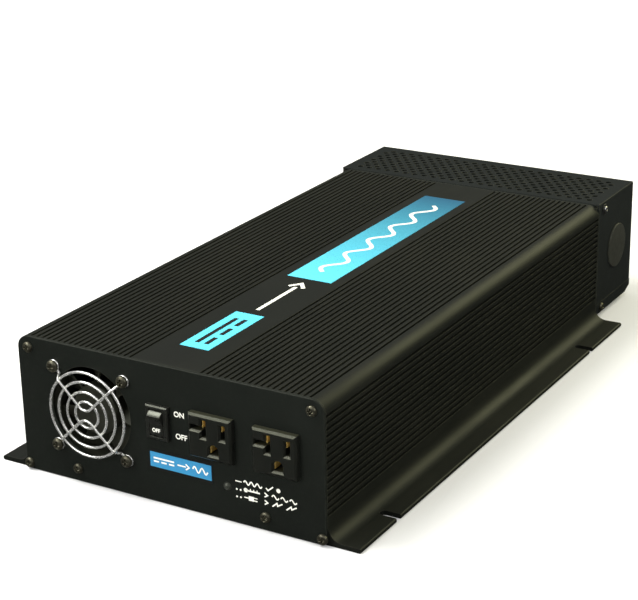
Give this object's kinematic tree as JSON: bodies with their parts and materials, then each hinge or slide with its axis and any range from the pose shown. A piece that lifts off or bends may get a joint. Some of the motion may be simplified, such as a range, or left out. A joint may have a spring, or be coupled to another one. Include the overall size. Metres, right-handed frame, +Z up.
{
  "type": "power inverter",
  "caption": "Power inverter: finned black case with slotted mounting flanges, front fan with wire guard, rocker switch, two outlets and a perforated rear wiring cover.",
  "frame": {"origin": "middle of the bounding box's underside, at the height of the flange undersides", "axes": "+X to the right seen from the front, +Y from the front panel to the rear cover, +Z up"},
  "size_m": [0.2504, 0.4593, 0.088],
  "materials": {
    "case_aluminium": "black anodised extrusion, satin",
    "panel_paint": "black fine textured powder coat",
    "base_sheet": "plain mill finish",
    "cover_paint": "black powder coat",
    "black_screw": "black oxide",
    "bright_screw": "zinc plated",
    "guard_chrome": "bright chrome wire",
    "fan_plastic": "black moulded",
    "magnet": "sintered ferrite",
    "coil_copper": "enamelled copper wire",
    "switch_plastic": "black, slight gloss",
    "outlet_plastic": "black moulded nylon",
    "contact_brass": "plain brass",
    "lamp_lens": "smoked lens, unlit",
    "label_film": "printed polyester film",
    "front_print": "printed film",
    "plug_plastic": "black moulded",
    "insulator_plastic": "red and black phenolic",
    "terminal_plastic": "green moulded",
    "board_laminate": "green solder mask",
    "ferrite": "grey ferrite",
    "capacitor_can": "dark sleeved can",
    "film_capacitor": "epoxy filled box",
    "chip_epoxy": "black epoxy",
    "pad_silicone": "grey silicone pad",
    "fuse_plastic": "translucent green"
  },
  "bodies": {
    "case": {"finned_case": "case_aluminium", "base_plate": "base_sheet", "base_screws": "black_screw", "front_panel": "panel_paint", "front_panel_screws": "black_screw", "top_labels": "label_film", "front_label": "front_print", "status_lamp": "lamp_lens", "lamp_holder": "outlet_plastic", "fan_guard": "guard_chrome", "fan_screws": "black_screw", "fan_nuts": "bright_screw", "fan_frame": "fan_plastic", "fan_bearings": "bright_screw", "fan_stator": "coil_copper", "switch_body": "switch_plastic", "switch_terminals": "contact_brass", "outlet_left_body": "outlet_plastic", "outlet_left_contacts": "contact_brass", "outlet_right_body": "outlet_plastic", "outlet_right_contacts": "contact_brass", "rear_panel": "panel_paint", "rear_panel_screws": "black_screw", "dc_studs": "contact_brass", "bus_bars": "coil_copper", "terminal_insulators": "insulator_plastic", "terminal_washers": "bright_screw", "terminal_nuts": "bright_screw", "earth_stud": "bright_screw", "earth_nut": "bright_screw", "remote_terminal_block": "terminal_plastic", "wiring_cover": "cover_paint", "wiring_tray": "cover_paint", "knockout_plugs": "plug_plastic", "cover_washers": "plug_plastic", "cover_screws": "bright_screw", "tray_screws": "black_screw", "cover_rear_screws": "black_screw", "main_board": "board_laminate", "board_standoffs": "bright_screw", "board_screws": "bright_screw", "transformer_cores": "ferrite", "transformer_windings": "coil_copper", "inductor_core": "ferrite", "inductor_winding": "coil_copper", "input_capacitors": "capacitor_can", "filter_capacitor": "film_capacitor", "thermal_pads": "pad_silicone", "power_transistors": "chip_epoxy", "clamp_bars": "base_sheet", "control_board": "board_laminate", "control_header": "outlet_plastic", "control_chips": "chip_epoxy", "input_fuses": "fuse_plastic"},
    "fan": {"fan_rotor": "fan_plastic", "fan_shaft": "bright_screw", "fan_magnet": "magnet"},
    "switch_rocker": {"rocker": "switch_plastic"}
  },
  "joints": [
    {"name": "fan_spin", "type": "hinge", "parent": "case", "child": "fan", "pos_m": [-0.053, -0.20925, 0.0475], "axis": [0, 1, 0], "continuous": true},
    {"name": "rocker_tilt", "type": "hinge", "parent": "case", "child": "switch_rocker", "pos_m": [-0.0046, -0.22275, 0.0521], "axis": [-1, 0, 0], "range_deg": [0, 26]}
  ]
}
